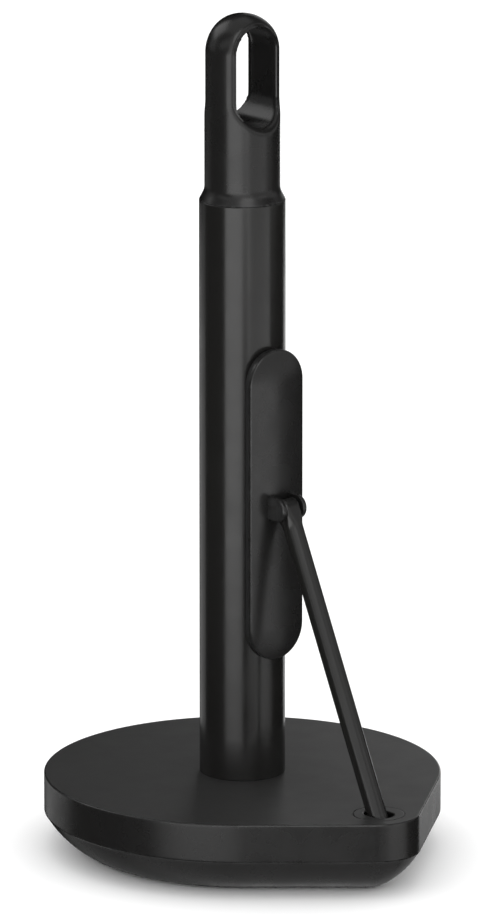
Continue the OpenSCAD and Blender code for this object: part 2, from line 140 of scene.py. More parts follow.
@dataclass(frozen=True)
class Finish:
    """A material as it was made: its tone, its gloss and the texture of its surface."""

    name: str
    slot: str
    tone: str
    patch_tone: str
    roughness: float
    gloss_swing: float = 0.04
    metallic: float = 0.0
    ior: float = 1.5
    patch_mm: float = 35.0
    grain_mm: float = 0.9
    grain_depth_mm: float = 0.004
    rub_tone: str = ""
    rub_gloss: float = 0.0
    grain_run: tuple[float, float, float] = (1.0, 1.0, 1.0)
    gloss_patch_share: float = 0.4
    rub_patch_mm: float = 7.0
    rub_from: float = 0.3
    rub_full: float = 0.62

    def build(self) -> bpy.types.Material:
        """Makes the material's node tree.

        Returns:
            The finished material.
        """
        material = bpy.data.materials.new(self.name)
        material.use_nodes = True
        tree = material.node_tree
        tree.nodes.clear()
        ground = Ground(tree, add_node(tree, "ShaderNodeTexCoord").outputs["Object"])
        shader = add_node(tree, "ShaderNodeBsdfPrincipled", {
            "Metallic": self.metallic,
            "IOR": self.ior,
            "Base Color": self.colour(ground),
            "Roughness": self.gloss(ground),
            "Normal": self.relief(ground),
        })
        add_node(tree, "ShaderNodeOutputMaterial", {"Surface": shader.outputs["BSDF"]})
        return material

    def rubbed(self, ground: Ground) -> bpy.types.NodeSocket:
        """How far each place is rubbed: the rims only, broken up into patches.

        Args:
            ground: The node tree and its coordinates.

        Returns:
            A socket from 0, as made, to 1, rubbed.
        """
        rims = add_node(ground.tree, "ShaderNodeAttribute", attribute_name=RUB).outputs["Fac"]
        return add_node(ground.tree, "ShaderNodeMapRange", {
            "Value": ground.patches(self.rub_patch_mm),
            "From Min": self.rub_from, "From Max": self.rub_full, "To Max": rims,
        }).outputs["Result"]

    def colour(self, ground: Ground) -> bpy.types.NodeSocket:
        """The tone with its slow drift and its rubbed rims.

        Args:
            ground: The node tree and its coordinates.

        Returns:
            The colour socket.
        """
        drift = add_node(ground.tree, "ShaderNodeMix", {
            "Factor": ground.patches(self.patch_mm),
            "A": linear(self.tone), "B": linear(self.patch_tone),
        }, data_type="RGBA").outputs["Result"]
        if not self.rub_tone:
            return drift
        return add_node(ground.tree, "ShaderNodeMix", {
            "Factor": self.rubbed(ground), "A": drift, "B": linear(self.rub_tone),
        }, data_type="RGBA").outputs["Result"]

    def gloss(self, ground: Ground) -> bpy.types.NodeSocket:
        """Roughness that drifts from place to place and is lower on rubbed rims.

        Args:
            ground: The node tree and its coordinates.

        Returns:
            The roughness socket.
        """
        drift = add_node(ground.tree, "ShaderNodeMapRange", {
            "Value": ground.patches(self.patch_mm * self.gloss_patch_share),
            "From Min": NOISE_LOW, "From Max": NOISE_HIGH,
            "To Min": self.roughness - self.gloss_swing, "To Max": self.roughness + self.gloss_swing,
        }).outputs["Result"]
        if not self.rub_gloss:
            return drift
        return add_node(ground.tree, "ShaderNodeMath", {
            0: self.rubbed(ground), 1: -self.rub_gloss, 2: drift,
        }, operation="MULTIPLY_ADD").outputs["Value"]

    def relief(self, ground: Ground) -> bpy.types.NodeSocket:
        """The surface's fine grain as bump.

        Args:
            ground: The node tree and its coordinates.

        Returns:
            The normal socket.
        """
        run = add_node(ground.tree, "ShaderNodeMapping", {"Vector": ground.place, "Scale": self.grain_run})
        grain = Ground(ground.tree, run.outputs["Vector"]).patches(self.grain_mm, detail=2.0)
        return add_node(ground.tree, "ShaderNodeBump", {
            "Height": self.mottled(ground, grain), "Distance": self.grain_depth_mm * MM,
        }).outputs["Normal"]

    def mottled(self, ground: Ground, grain: bpy.types.NodeSocket) -> bpy.types.NodeSocket:
        """The height of the surface; a plain finish has its grain alone."""
        return grain


@dataclass(frozen=True)
class PowderCoat(Finish):
    """Baked powder paint: fine grain that rides on shallow orange-peel waves."""

    peel_mm: float = 3.2
    peel_share: float = 0.6

    def mottled(self, ground: Ground, grain: bpy.types.NodeSocket) -> bpy.types.NodeSocket:
        """Adds the waves of the flowed powder to the grain.

        Args:
            ground: The node tree and its coordinates.
            grain: The height of the fine grain.

        Returns:
            The height socket.
        """
        waves = ground.patches(self.peel_mm, detail=0.0)
        return add_node(ground.tree, "ShaderNodeMath", {0: waves, 1: self.peel_share, 2: grain},
                        operation="MULTIPLY_ADD").outputs["Value"]


@dataclass(frozen=True)
class CastSkin(Finish):
    """Sand-cast or moulded skin: rounded pits between larger lumps."""

    pit_mm: float = 1.6

    def mottled(self, ground: Ground, grain: bpy.types.NodeSocket) -> bpy.types.NodeSocket:
        """Adds rounded pits to the grain.

        Args:
            ground: The node tree and its coordinates.
            grain: The height of the fine grain.

        Returns:
            The height socket.
        """
        pits = add_node(ground.tree, "ShaderNodeTexVoronoi", {
            "Vector": ground.place, "Scale": 1 / (self.pit_mm * MM),
        }, feature="SMOOTH_F1").outputs["Distance"]
        return add_node(ground.tree, "ShaderNodeMath", {0: pits, 1: grain}, operation="ADD").outputs["Value"]


class FinishName(Enum):
    """The finishes that the holder's pieces choose from."""

    # ABS from a spark-eroded mould: a satin near-black with soft-edged highlights and no visible grain lines
    SHELL = Finish("moulded_abs_satin", "black_abs", "#171716", "#1a1919", 0.28,
                   grain_depth_mm=0.002, rub_tone="#252525", rub_gloss=0.05)
    # The same ABS where the mould was sandblasted: matt, and it blurs what stands on it; its tone is a shade
    # lighter than the shell's, a painted sheen for the light that the upward faces catch
    DECK = Finish("moulded_abs_sandblasted_painted_sheen", "black_abs", "#282828", "#2b2b2a", 0.5,
                  gloss_swing=0.02, grain_mm=0.8, grain_depth_mm=0.004)
    # Steel under baked powder: the same near-black, a little glossier, with faint waves in its streaks
    COATED = PowderCoat("powder_coated_steel", "powder_coat", "#171616", "#1a1a18", 0.23,
                        grain_depth_mm=0.0012, rub_tone="#242424", rub_gloss=0.04)
    # Compression-moulded rubber: flat and dark, with almost no reflection
    FOOT = CastSkin("moulded_rubber_foot", "foot_rubber", "#131313", "#181817", 0.72,
                    ior=1.45, grain_mm=0.8, grain_depth_mm=0.03)
    # Soft thermoplastic rubber: a dry bloom that catches a little light at the edge
    LINER = Finish("thermoplastic_rubber_liner", "liner_rubber", "#161616", "#1c1b1b", 0.6,
                   ior=1.45, grain_mm=0.7, grain_depth_mm=0.012)
    # Grey iron as cast and tumbled: lumpy, dull, faintly brown
    IRON = CastSkin("sand_cast_iron", "cast_iron", "#4a4846", "#5a5550", 0.62, metallic=1.0,
                    patch_mm=14.0, pit_mm=2.2, grain_mm=0.6, grain_depth_mm=0.12)
    # Zinc-plated steel: bright bluish metal with cloudy passivated patches
    ZINC = Finish("zinc_plated_steel", "zinc_steel", "#a9adb3", "#bdbcb2", 0.3, metallic=1.0,
                  patch_mm=6.0, grain_mm=0.5, grain_depth_mm=0.004)
    # Drawn spring wire: smooth and bright with draw marks along it
    SPRING = Finish("drawn_spring_steel", "spring_steel", "#9c9a97", "#b1afab", 0.24, metallic=1.0,
                    patch_mm=4.0, grain_mm=0.4, grain_depth_mm=0.004, grain_run=(1.0, 0.2, 1.0))
    # Turned aluminium: fine rings from the lathe tool round the Z axis
    ALUMINIUM = Finish("turned_aluminium", "cast_aluminium", "#b4b5b8", "#c3c3c4", 0.34, metallic=1.0,
                       patch_mm=9.0, grain_mm=2.0, grain_depth_mm=0.008, grain_run=(0.3, 0.3, 8.0))
    # Turned brass: warm yellow metal with rings from the tool
    BRASS = Finish("turned_brass", "insert_brass", "#b48c46", "#c49d57", 0.3, metallic=1.0,
                   patch_mm=5.0, grain_mm=2.0, grain_depth_mm=0.008, grain_run=(0.3, 0.3, 8.0))


@dataclass
class Finishes:
    """The finishes once made, one material for each name."""

    made: dict[FinishName, bpy.types.Material] = field(default_factory=dict)

    def material(self, name: FinishName) -> bpy.types.Material:
        """The material of a finish, made on its first use.

        Args:
            name: The finish.

        Returns:
            Its material.
        """
        if name not in self.made:
            self.made[name] = name.value.build()
        return self.made[name]

    def dress(self, piece: bpy.types.Object, name: FinishName) -> None:
        """Gives a piece one finish all over.

        Args:
            piece: The piece or CAD node.
            name: The finish.
        """
        piece.data.materials.clear()
        piece.data.materials.append(self.material(name))

    def paint_sheen_on_tops(self, piece: bpy.types.Object, name: FinishName, level: float = 0.999) -> None:
        """Gives the faces of a piece that lie flat and look up a finish of their own, used to paint the tops
        a shade lighter as a painted sheen.

        Args:
            piece: The piece, which has its main finish.
            name: The finish of its top.
            level: The least upward part of a flat face's normal.
        """
        piece.data.materials.append(self.material(name))
        for face in piece.data.polygons:
            if face.normal.z > level:
                face.material_index = 1


# ---- Workbench: how pieces are modelled ----


def put_down() -> None:
    """Leaves nothing selected, so that an operator acts only on what is picked next."""
    bpy.ops.object.select_all(action="DESELECT")


def take_up(piece: bpy.types.Object) -> None:
    """Makes one piece the only selected and the active one.

    Args:
        piece: The piece.
    """
    put_down()
    piece.select_set(True)
    bpy.context.view_layer.objects.active = piece


@contextmanager
def editing(piece: bpy.types.Object) -> Iterator[bmesh.types.BMesh]:
    """Opens a piece in edit mode.

    Args:
        piece: The piece to edit.

    Yields:
        The mesh being edited.
    """
    take_up(piece)
    bpy.ops.object.mode_set(mode="EDIT")
    try:
        yield bmesh.from_edit_mesh(piece.data)
    finally:
        bpy.ops.object.mode_set(mode="OBJECT")


def apply_modifier(piece: bpy.types.Object, kind: str, **settings: object) -> None:
    """Adds a modifier to a piece and applies it.

    Args:
        piece: The piece.
        kind: The modifier's type.
        **settings: The modifier's properties.
    """
    take_up(piece)
    modifier = piece.modifiers.new(kind.title(), kind)
    for name, value in settings.items():
        setattr(modifier, name, value)
    bpy.ops.object.modifier_apply(modifier=modifier.name)


def combine(piece: bpy.types.Object, other: bpy.types.Object, operation: str) -> None:
    """Fuses another solid to a piece, or cuts it away, and uses the other up.

    Args:
        piece: The piece that stays.
        other: The solid that is added or cut away.
        operation: UNION or DIFFERENCE.
    """
    apply_modifier(piece, "BOOLEAN", operation=operation, object=other, solver="EXACT")
    bpy.data.objects.remove(other)


def rounded(profile: list[tuple[float, float, float]], step_deg: float = 15.0,
            guard: float = 1.2) -> list[Point]:
    """Rounds the corners of a profile, with a guard point beside each fillet on a long run.

    Args:
        profile: Each corner's two coordinates and the radius of its fillet, 0 for none.
        step_deg: The turn between two points of a fillet.
        guard: The distance from a fillet to its guard point.

    Returns:
        The rounded profile's points.
    """
    points: list[Point] = []
    for i, (x, y, radius) in enumerate(profile):
        corner = Vector((x, y))
        if radius <= 0:
            points.append((x, y))
            continue
        before = Vector(profile[i - 1][:2]) - corner
        after = Vector(profile[i + 1][:2]) - corner
        runs = before.length, after.length
        before.normalize()
        after.normalize()
        opening = before.angle(after)
        tangent = radius / math.tan(opening / 2)
        centre = corner + (before + after).normalized() * (radius / math.sin(opening / 2))
        first, last = corner + before * tangent, corner + after * tangent
        if runs[0] > tangent + GUARDED_RUN * guard:
            points.append(tuple(first + before * guard))
        steps = max(2, math.ceil(math.degrees(math.pi - opening) / step_deg))
        for k in range(steps + 1):
            arm = (first - centre).slerp(last - centre, k / steps)
            points.append(tuple(centre + arm.normalized() * radius))
        if runs[1] > tangent + GUARDED_RUN * guard:
            points.append(tuple(last + after * guard))
    return points


def circle(reach: float, count: int = 128) -> list[Point]:
    """Points round a circle of that radius, in millimetres."""
    return [(reach * math.cos(2 * math.pi * k / count), reach * math.sin(2 * math.pi * k / count))
            for k in range(count)]


def stadium(reach: float, half_run: float, count: int = 40, run_steps: int = 6) -> list[Point]:
    """Points round a stadium that is long in its second coordinate.

    Args:
        reach: The radius of its two ends.
        half_run: Half the distance between the middles of its ends.
        count: How many steps each end has.
        run_steps: How many steps each straight side has.

    Returns:
        The points, in one turn.
    """
    points: list[Point] = []
    for side in (1, -1):
        for k in range(count + 1):
            a = math.pi * k / count
            points.append((side * reach * math.cos(a), side * (half_run + reach * math.sin(a))))
        for k in range(1, run_steps):
            points.append((-side * reach, side * half_run * (1 - 2 * k / run_steps)))
    return points


def upright(x: float, y: float, level: float) -> Vector:
    """A plan point at a height, in metres."""
    return Vector((x, y, level)) * MM


def facing_x(level: float) -> Place:
    """Stands a plan up to face along X.

    Args:
        level: The height of the plan's middle, in millimetres.

    Returns:
        Places a plan point at a distance along X.
    """
    return lambda y, z, x: Vector((x, y, level + z)) * MM


def facing_y(middle: Vector) -> Place:
    """Stands a plan up to face along Y.

    Args:
        middle: Where the plan's middle is, in millimetres.

    Returns:
        Places a plan point at a distance along Y.
    """
    return lambda x, z, y: Vector((middle.x + x, y, middle.z + z)) * MM


def rings_of(profile: list[Point], plan: Callable[[float], list[Point]],
             place: Place = upright) -> list[Ring]:
    """Carries a profile round a plan.

    Args:
        profile: For each ring, the plan's reach or inset and the ring's level.
        plan: Gives the plan's points for a reach or inset.
        place: Turns a plan point and a level to a place in metres.

    Returns:
        The rings.
    """
    return [[place(x, y, level) for x, y in plan(reach)] for reach, level in profile]


def mark_rims(piece: bpy.types.Object, smooth_deg: float = 6.0, sharp_deg: float = 12.0) -> None:
    """Stores how strongly each point belongs to an outward-turning rim.

    Args:
        piece: The piece.
        smooth_deg: The turn between faces up to which a point is no rim.
        sharp_deg: The turn from which it is all rim.
    """
    mesh = bmesh.new()
    mesh.from_mesh(piece.data)
    mesh.verts.ensure_lookup_table()
    values = []
    for point in mesh.verts:
        turns = [edge.calc_face_angle_signed(0.0) for edge in point.link_edges if edge.is_manifold]
        share = (math.degrees(max(turns, default=0.0)) - smooth_deg) / (sharp_deg - smooth_deg)
        values.append(min(1.0, max(0.0, share)))
    mesh.free()
    attribute = piece.data.attributes.get(RUB) or piece.data.attributes.new(RUB, "FLOAT", "POINT")
    attribute.data.foreach_set("value", values)


def ring_wall(name: str, rings: list[Ring], loop: bool = False) -> bpy.types.Object:
    """Draws a closed wall ring by ring: a circle set to the first ring, then extruded to each next one.

    Args:
        name: The piece's name.
        rings: The rings, all with as many points.
        loop: True if the last ring joins the first, False if each end gets a face.

    Returns:
        The piece, with its place in its mesh.
    """
    count = len(rings[0])
    put_down()
    bpy.ops.mesh.primitive_circle_add(vertices=count, radius=rings[0][0].length, fill_type="NOTHING")
    piece = bpy.context.active_object
    piece.name = piece.data.name = name
    for vertex, point in zip(piece.data.vertices, rings[0]):
        vertex.co = point
    with editing(piece):
        bpy.ops.mesh.select_all(action="SELECT")
        previous = rings[0]
        for ring in rings[1:] + (rings[:1] if loop else []):
            number = {tuple(point): k for k, point in enumerate(previous)}
            bpy.ops.mesh.extrude_region_move()
            mesh = bmesh.from_edit_mesh(piece.data)
            for vertex in mesh.verts:
                if vertex.select:
                    vertex.co = ring[number[tuple(vertex.co)]]
            bmesh.update_edit_mesh(piece.data)
            previous = ring
        if not loop:
            close_ends(piece)
        bpy.ops.mesh.select_all(action="SELECT")
        bpy.ops.mesh.remove_doubles(threshold=WELD_MM * MM)
        bpy.ops.mesh.normals_make_consistent(inside=False)
    mark_rims(piece)
    return piece


def close_ends(piece: bpy.types.Object) -> None:
    """Gives each open end of the wall in edit mode one face.

    Args:
        piece: The piece, in edit mode, with its last ring selected.
    """
    bpy.ops.mesh.edge_face_add()
    bpy.ops.mesh.select_all(action="DESELECT")
    mesh = bmesh.from_edit_mesh(piece.data)
    for edge in mesh.edges:
        if edge.is_boundary:
            edge.select_set(True)
    bmesh.update_edit_mesh(piece.data)
    bpy.ops.mesh.edge_face_add()


def smooth(piece: bpy.types.Object, angle_deg: float = 34.0) -> None:
    """Shades a piece smooth up to an angle, and weights its normals by face area so that flats stay flat.

    Args:
        piece: The piece.
        angle_deg: The turn between faces from which an edge stays sharp.
    """
    take_up(piece)
    bpy.ops.object.shade_smooth_by_angle(angle=math.radians(angle_deg))
    apply_modifier(piece, "WEIGHTED_NORMAL", keep_sharp=True)


@dataclass
class Workshop:
    """Finishes each piece: shading, finish, the body it rides on and the CAD nodes it stands for."""

    finishes: Finishes
    done: list[str] = field(default_factory=list)

    def hand_over(self, piece: bpy.types.Object, body: str, finish: FinishName, *nodes: str) -> None:
        """Finishes a new piece.

        Args:
            piece: The piece, with its place in its mesh.
            body: The CAD body that it rides on.
            finish: Its finish.
            *nodes: The CAD nodes that it stands for.
        """
        smooth(piece)
        self.finishes.dress(piece, finish)
        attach(piece, body)
        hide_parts(*nodes)
        self.done.append(piece.name)
        log.info("%s: %d faces, rides on %s", piece.name, len(piece.data.polygons), body)

    def dress_nodes(self, finish: FinishName, *nodes: str) -> None:
        """Gives CAD nodes that stay as they are a finish.

        Args:
            finish: The finish.
            *nodes: The CAD nodes.
        """
        for node in nodes:
            self.finishes.dress(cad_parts[node], finish)
            log.info("%s: the CAD node, finished in %s", node, finish.value.name)


@dataclass
class Maker:
    """Models some of the holder's pieces and hands them to the workshop."""

    workshop: Workshop

    def build(self) -> None:
        """Builds the pieces."""
        raise NotImplementedError


def reach_of(node: str) -> float:
    """Half of a CAD node's width along Y, in millimetres."""
    low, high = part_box(node)
    return (high.y - low.y) / 2 / MM


def middle_of(node: str) -> Vector:
    """The middle of a CAD node's box, in millimetres."""
    low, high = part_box(node)
    return (low + high) / 2 / MM


def levels_of(node: str) -> Point:
    """The lowest and highest level of a CAD node, in millimetres."""
    low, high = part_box(node)
    return low.z / MM, high.z / MM


# ---- Base ----


@dataclass
class Base(Maker):
    """The weighted base: a deck with an upright band, a bowl below it, and a rubber foot."""

    radius: float = 90.0
    flat_turn: float = 40.0
    corner_radius: float = 21.0
    deck: float = 3.0
    band_wall: float = 2.5
    pan_wall: float = 2.2
    rim_round: float = 0.7
    crease_round: float = 0.35
    top_inset: float = 14.0
    underside_inset: float = 12.0
    bowl_start: float = 30.0
    bowl_end: float = 63.0
    bowl_steps: int = 14
    crease_level: float = 17.85
    bowl_lip: float = 0.25
    bowl_floor: float = 1.5
    recess_gap: float = 0.1
    seat_gap: float = 0.12
    seat_bevel: float = 0.22
    seat_w: float = 3.4
    flange_t: float = 1.4
    foot_core: float = 8.0
    foot_top_round: float = 0.2
    foot_worn_round: float = 0.5
    foot_steps: int = 160
    arc_steps: int = 176
    flat_steps: int = 10
    corner_steps: int = 36

    def outline(self, inset: float) -> list[Point]:
        """The base's plan, drawn inwards.

        Args:
            inset: How far inwards.

        Returns:
            Its points in one turn, as many for any inset.
        """
        turn = math.radians(self.flat_turn)
        corner_x = (self.radius - self.corner_radius) / math.cos(turn)
        wide, tight = self.radius - inset, self.corner_radius - inset
        arc = [turn + (2 * math.pi - 2 * turn) * k / self.arc_steps for k in range(self.arc_steps + 1)]
        bend = [-turn + 2 * turn * k / self.corner_steps for k in range(self.corner_steps + 1)]
        points = [(wide * math.cos(a), wide * math.sin(a)) for a in arc]
        corner = [(corner_x + tight * math.cos(a), tight * math.sin(a)) for a in bend]
        points += self.between(points[-1], corner[0])
        return points + corner + self.between(corner[-1], points[0])

    def between(self, start: Point, end: Point) -> list[Point]:
        """Points that divide a flat side evenly, without its two ends."""
        shares = [k / self.flat_steps for k in range(1, self.flat_steps)]
        return [(start[0] + (end[0] - start[0]) * s, start[1] + (end[1] - start[1]) * s) for s in shares]

    def cover(self) -> None:
        """Builds the deck and band, with a soft top rim and a bevelled seat for the grommet."""
        top = levels_of("base_cover")[1]
        crease, _ = self.crease()
        inner = top - self.deck
        profile = rounded([
            (self.band_wall + self.underside_inset, inner, 0), (self.band_wall, inner, 0),
            (self.band_wall, crease, 0), (0, crease, self.crease_round), (0, top, self.rim_round),
            (self.top_inset, top, 0),
        ])
        piece = ring_wall("base_deck", rings_of(profile, self.outline))
        grommet = middle_of("slot_grommet")
        flange = reach_of("slot_grommet") + self.seat_gap
        bore, rim = flange - self.seat_w, flange + self.seat_bevel
        seat = [(bore, inner - OVERCUT), (bore, top - self.flange_t), (flange, top - self.flange_t),
                (flange, top - self.seat_bevel), (rim, top), (rim + OVERCUT, top + OVERCUT)]
        cutter = ring_wall("seat_cutter", rings_of(
            seat, lambda reach: [(x + grommet.x, y) for x, y in circle(reach, ROUND_STEPS)]))
        combine(piece, cutter, "DIFFERENCE")
        self.workshop.hand_over(piece, "stand", FinishName.SHELL, "base_cover")
        # The deck's upward faces are painted a shade lighter: a painted sheen for the light that the deck
        # catches.
        self.workshop.finishes.paint_sheen_on_tops(piece, FinishName.DECK)

    def crease(self) -> Point:
        """The level where the band meets the bowl, and the bowl's foot."""
        low, _ = levels_of("base_pan")
        return self.crease_level, low

    def pan(self) -> None:
        """Builds the bowl below the band, with its shallow recess for the foot."""
        crease, foot = self.crease()
        start, end = math.radians(self.bowl_start), math.radians(self.bowl_end)
        bend = (crease - foot) / (math.sin(end) - math.sin(start))
        turns = [start + (end - start) * k / self.bowl_steps for k in range(self.bowl_steps + 1)]

        def bowl(shrink: float) -> list[Point]:
            """The bowl's curve from the band down, taken inwards by a wall."""
            return [(bend * math.cos(start) - (bend - shrink) * math.cos(t),
                     crease + bend * math.sin(start) - (bend - shrink) * math.sin(t)) for t in turns]

        outer, inner = bowl(0.0), bowl(self.pan_wall)
        inset = outer[0][0]
        lip = [(inner[0][0], crease), (inset + self.bowl_lip, crease), (inset, crease - self.bowl_lip)]
        profile = inner[::-1] + lip + outer[1:] + [(outer[-1][0] + self.bowl_floor, foot)]
        piece = ring_wall("base_bowl", rings_of(profile, self.outline))
        recess_top = levels_of("foot_pad")[1]
        recess = [(reach_of("foot_pad") + self.recess_gap, edge) for edge in (foot - OVERCUT, recess_top)]
        combine(piece, ring_wall("recess_cutter", rings_of(recess, circle)), "DIFFERENCE")
        self.workshop.hand_over(piece, "stand", FinishName.SHELL, "base_pan")

    def foot(self) -> None:
        """Builds the rubber foot with a worn lower edge."""
        low, top = levels_of("foot_pad")
        reach = reach_of("foot_pad")
        core = reach - self.foot_core
        profile = rounded([(core, top, 0), (reach, top, self.foot_top_round),
                           (reach, low, self.foot_worn_round), (core, low, 0)])
        piece = ring_wall("foot_ring", rings_of(profile, lambda r: circle(r, self.foot_steps)))
        self.workshop.hand_over(piece, "stand", FinishName.FOOT, "foot_pad")

    def build(self) -> None:
        """Builds the base's pieces and finishes what is inside it."""
        self.cover()
        self.pan()
        self.foot()
        self.workshop.dress_nodes(FinishName.IRON, "base_weight")
        self.workshop.dress_nodes(FinishName.ZINC, "pan_screws")


@dataclass
class Grommet(Maker):
    """The round insert in the deck, with the slot that the arm moves in."""

    skirt_wall: float = 1.4
    flange_w: float = 2.7
    flange_t: float = 1.4
    flange_round: float = 0.3
    slot_half_w: float = 5.4
    lip_round: float = 0.7
    lip_turns: tuple[float, ...] = (0, 15, 30, 45, 60, 75)
    core: float = 2.0
    skirt_round: float = 0.2
    top_inset: float = 1.5
    guard: float = 0.4
    end_steps: int = 24
    side_steps: int = 3

    def build(self) -> None:
        """Builds the flanged ring and cuts its slot with a rounded lip."""
        low, top = levels_of("slot_grommet")
        centre = middle_of("slot_grommet").x
        flange = reach_of("slot_grommet")
        skirt = flange - self.flange_w
        half_run = skirt - self.skirt_wall - self.slot_half_w

        def disc(reach: float) -> list[Point]:
            """The grommet's round plan."""
            return [(x + centre, y) for x, y in circle(reach, ROUND_STEPS)]

        def slot(reach: float) -> list[Point]:
            """The slot's plan, long in X."""
            ends = stadium(reach, half_run, self.end_steps, self.side_steps)
            return [(centre + y, x) for x, y in ends]

        body = rounded([
            (skirt - self.core, low, 0), (skirt, low, self.skirt_round), (skirt, top - self.flange_t, 0),
            (flange, top - self.flange_t, 0), (flange, top, self.flange_round),
            (flange - self.top_inset, top, 0),
        ], guard=self.guard)
        piece = ring_wall("slot_ring", rings_of(body, disc))
        lip = [(self.slot_half_w + self.lip_round * (1 - math.cos(a)),
                top - self.lip_round * (1 - math.sin(a)))
               for a in map(math.radians, self.lip_turns)]
        hole = [(self.slot_half_w, low - OVERCUT), *lip, (lip[-1][0] + OVERCUT, top + OVERCUT)]
        combine(piece, ring_wall("slot_cutter", rings_of(hole, slot)), "DIFFERENCE")
        self.workshop.hand_over(piece, "stand", FinishName.SHELL, "slot_grommet")
        # The grommet's upward faces are painted a shade lighter, like the deck: a painted sheen for the
        # light that they catch.
        self.workshop.finishes.paint_sheen_on_tops(piece, FinishName.DECK)


# ---- Post ----


@dataclass
class Post(Maker):
    """The coated steel tube between the base and the finger loop."""

    wall: float = 1.5
    end_round: float = 0.35
    steps: int = 144

    def build(self) -> None:
        """Builds the tube with eased ends, and finishes the plugs and bolts inside it."""
        low, top = levels_of("column_tube")
        reach = reach_of("column_tube")
        bore = reach - self.wall
        profile = rounded([(bore, low, 0), (bore, top, 0), (reach, top, self.end_round),
                           (reach, low, self.end_round), (bore, low, 0)])
        piece = ring_wall("post_tube", rings_of(profile[:-1], lambda r: circle(r, self.steps)), loop=True)
        self.workshop.hand_over(piece, "stand", FinishName.COATED, "column_tube")
        self.workshop.dress_nodes(FinishName.ALUMINIUM, "column_plug", "top_plug")
        self.workshop.dress_nodes(FinishName.ZINC, "column_bolt", "column_washer", "loop_stud")
        self.workshop.dress_nodes(FinishName.BRASS, "loop_insert")


@dataclass
class FingerLoop(Maker):
    """The moulded handle: a shoulder, a neck, and a domed end with a finger slot through it."""

    neck: float = 17.0
    shoulder: float = 4.5
    wall: float = 5.1
    slot_rise: float = 20.6
    lip: float = 3.8
    crease: float = 0.9
    seam_round: float = 0.35
    voxel: float = 0.55
    dome_steps: int = 24
    settle_steps: int = 6
    settle_reach: float = 0.4
    least_slope: float = 0.25
    probe: float = 0.01

    def rough(self) -> bpy.types.Object:
        """Turns the handle's blank and bores the slot through it, all with sharp edges.

        Returns:
            The blank.
        """
        low, top = levels_of("column_tube")[1], levels_of("finger_loop")[1]
        dome = top - self.neck
        bend = [math.pi / 2 * k / self.dome_steps for k in range(self.dome_steps)]
        profile = [(reach_of("column_tube"), low), (self.neck, low + self.shoulder)]
        profile += [(self.neck * math.cos(a), dome + self.neck * math.sin(a)) for a in bend]
        blank = ring_wall("finger_loop_piece", rings_of(profile, circle))
        finger = self.neck - self.wall
        middle = dome - self.slot_rise / 2
        cut = rings_of([(finger, -2 * self.neck), (finger, 2 * self.neck)],
                       lambda reach: stadium(reach, self.slot_rise / 2), facing_x(middle))
        combine(blank, ring_wall("finger_cutter", cut), "DIFFERENCE")
        return blank

    def depth(self, points: np.ndarray) -> np.ndarray:
        """How far points stand out of the handle's eased form; negative is inside.

        Args:
            points: Points in millimetres, one a row.

        Returns:
            One distance for each point.
        """
        low, top = levels_of("column_tube")[1], levels_of("finger_loop")[1]
        dome = top - self.neck
        x, y, z = points.T
        round_r = np.hypot(x, y)
        neck = np.hypot(round_r, np.maximum(z - dome, 0)) - self.neck
        tube = reach_of("column_tube")
        lean = math.hypot(self.shoulder, tube - self.neck)
        cone = ((round_r - tube) * self.shoulder + (z - low) * (tube - self.neck)) / lean
        blend = np.clip(0.5 + 0.5 * (cone - neck) / self.crease, 0, 1)
        outer = cone * (1 - blend) + neck * blend - self.crease * blend * (1 - blend)
        finger = self.neck - self.wall
        run = z - np.clip(z, dome - self.slot_rise, dome)
        slot = finger - np.hypot(y, run)
        return self.eased(self.eased(outer, slot, self.lip), low - z, self.seam_round)

    @staticmethod
    def eased(first: np.ndarray, second: np.ndarray, radius: float) -> np.ndarray:
        """What two forms have in common, with the edge between them rounded.

        Args:
            first: Distances out of one form.
            second: Distances out of the other.
            radius: The rounding.

        Returns:
            Distances out of the common form.
        """
        both = np.hypot(np.maximum(first + radius, 0), np.maximum(second + radius, 0))
        return np.minimum(np.maximum(first, second), -radius) + both

    def settle(self, piece: bpy.types.Object) -> None:
        """Draws every point of an evenly remeshed blank onto the eased form.

        Args:
            piece: The blank.
        """
        flat = np.empty(len(piece.data.vertices) * 3)
        piece.data.vertices.foreach_get("co", flat)
        points = flat.reshape(-1, 3) / MM
        for _ in range(self.settle_steps):
            value = self.depth(points)
            slope = np.stack([
                (self.depth(points + self.probe * axis) - self.depth(points - self.probe * axis))
                / (2 * self.probe)
                for axis in np.eye(3)
            ], axis=1)
            size = np.maximum((slope ** 2).sum(axis=1), self.least_slope)
            points -= np.clip(value / size, -self.settle_reach, self.settle_reach)[:, None] * slope
        piece.data.vertices.foreach_set("co", (points * MM).ravel())
        piece.data.update()

    def build(self) -> None:
        """Builds the handle: blank, even mesh, eased form."""
        piece = self.rough()
        apply_modifier(piece, "REMESH", mode="VOXEL", voxel_size=self.voxel * MM)
        self.settle(piece)
        mark_rims(piece, smooth_deg=8.0, sharp_deg=20.0)
        self.workshop.hand_over(piece, "stand", FinishName.SHELL, "finger_loop")


# ---- Arm and pad ----


